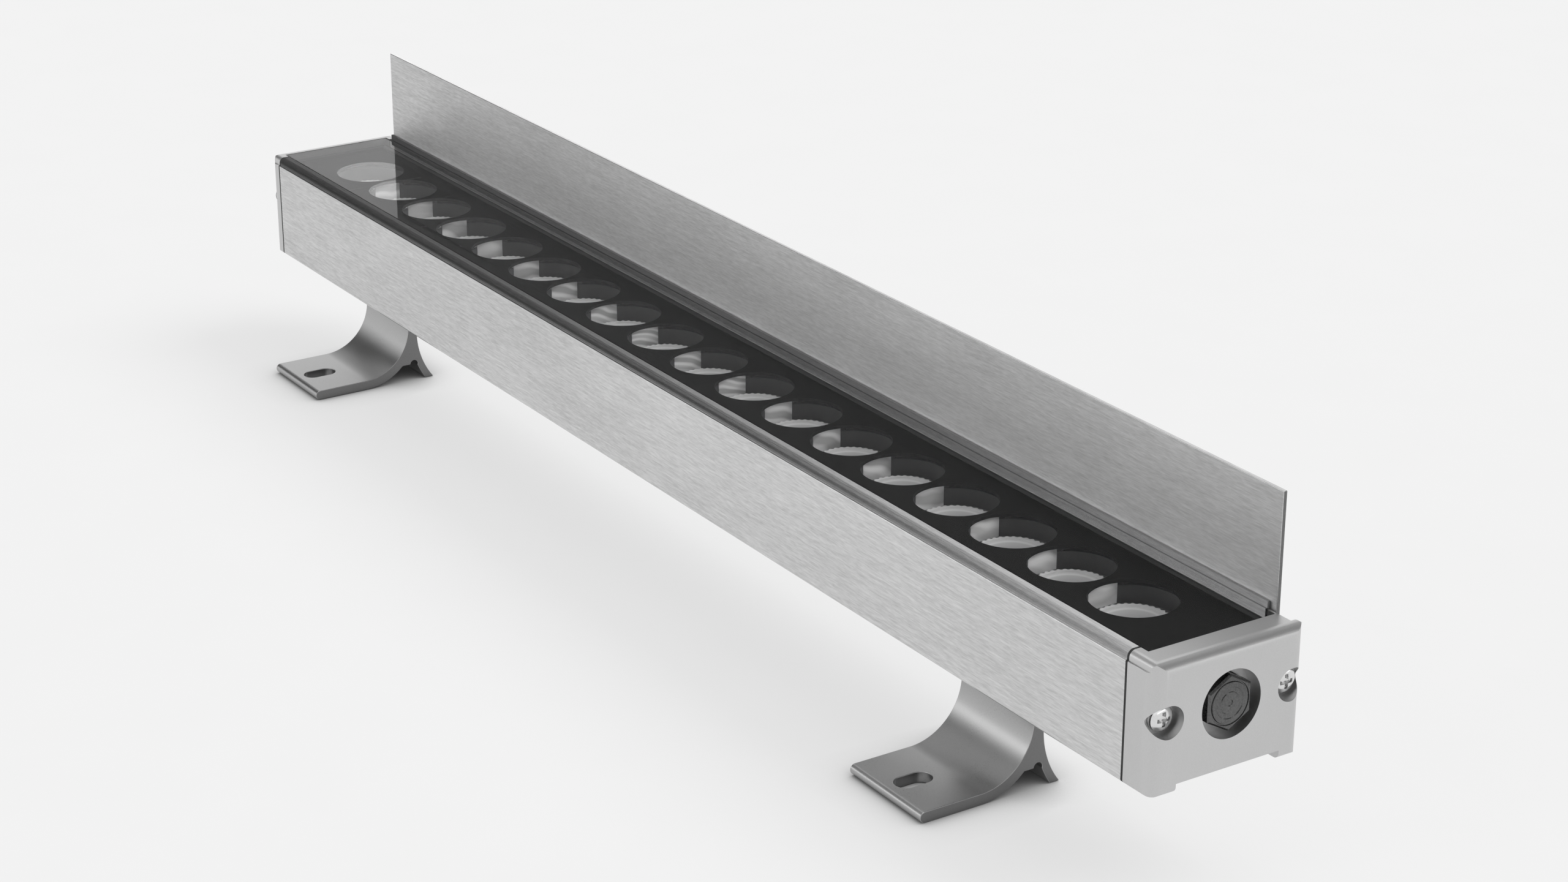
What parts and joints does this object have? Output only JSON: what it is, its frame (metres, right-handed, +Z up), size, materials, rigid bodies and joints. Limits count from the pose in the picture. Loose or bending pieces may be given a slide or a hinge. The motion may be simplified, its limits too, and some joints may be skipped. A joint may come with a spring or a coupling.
{
  "type": "outdoor linear wall washer light",
  "caption": "Slim aluminium linear wall washer: a row of lenses under glass, a glare shield, sealed end caps and sliding, tilting feet.",
  "frame": {"origin": "middle of the whole light's box on the floor that it stands on", "axes": "+X along the light towards the vented end cap, +Y towards the glare shield, +Z up out of the lenses"},
  "size_m": [0.5124, 0.0624, 0.1044],
  "materials": {
    "brushed_aluminium": "brushed",
    "satin_casting": "satin",
    "satin_extrusion": "satin",
    "polished_aluminium": "polished",
    "clear_glass": "gloss",
    "clear_lens": "gloss",
    "black_anodised": "matte",
    "black_plastic": "matte",
    "dark_plastic": "matte",
    "green_plastic": "matte",
    "black_rubber": "matte",
    "stainless_steel": "satin",
    "plated_steel": "satin",
    "black_steel": "satin",
    "nickel_brass": "satin",
    "led_yellow": "matte",
    "white_board": "matte",
    "green_board": "satin",
    "grey_pad": "matte",
    "dark_ferrite": "matte",
    "red_wire": "satin"
  },
  "bodies": {
    "light": {"housing_profile": "brushed_aluminium", "cover_glass": "clear_glass", "glass_seal": "black_rubber", "window_plate": "black_anodised", "lens_tray": "black_plastic", "divider_blades": "polished_aluminium", "lenses": "clear_lens", "led_packages": "led_yellow", "led_board": "white_board", "board_screws": "plated_steel", "board_leads": "red_wire", "driver_board": "green_board", "driver_pad": "grey_pad", "driver_chips": "black_plastic", "driver_coils": "dark_ferrite", "driver_capacitors": "dark_ferrite", "cable_terminal": "green_plastic", "end_cap_right": "satin_casting", "end_cap_left": "satin_casting", "cap_seal_right": "black_rubber", "cap_seal_left": "black_rubber", "cap_screws_right": "stainless_steel", "cap_screws_left": "stainless_steel", "vent_plug": "dark_plastic", "vent_o_ring": "black_rubber", "gland_body": "nickel_brass", "gland_o_ring": "black_rubber", "gland_insert": "black_rubber", "gland_nut": "nickel_brass", "glare_shield": "brushed_aluminium", "shield_screws": "black_steel"},
    "left_carriage": {"carriage_left": "satin_extrusion", "lock_screws_left": "black_steel", "friction_washers_left": "dark_plastic", "hinge_bolt_left": "stainless_steel", "hinge_nut_left": "stainless_steel"},
    "left_foot": {"foot_left": "satin_extrusion"},
    "right_carriage": {"carriage_right": "satin_extrusion", "lock_screws_right": "black_steel", "friction_washers_right": "dark_plastic", "hinge_bolt_right": "stainless_steel", "hinge_nut_right": "stainless_steel"},
    "right_foot": {"foot_right": "satin_extrusion"}
  },
  "joints": [
    {"name": "slide_left", "type": "slide", "parent": "light", "child": "left_carriage", "axis": [1, 0, 0], "range_m": [-0.0035, 0.15]},
    {"name": "tilt_left", "type": "hinge", "parent": "left_carriage", "child": "left_foot", "pos_m": [-0.20285, 0.0072, 0.0281], "axis": [1, 0, 0], "range_deg": [-75, 75]},
    {"name": "slide_right", "type": "slide", "parent": "light", "child": "right_carriage", "axis": [1, 0, 0], "range_m": [-0.15, 0.0475]},
    {"name": "tilt_right", "type": "hinge", "parent": "right_carriage", "child": "right_foot", "pos_m": [0.16415, 0.0072, 0.0281], "axis": [1, 0, 0], "range_deg": [-75, 75]}
  ]
}
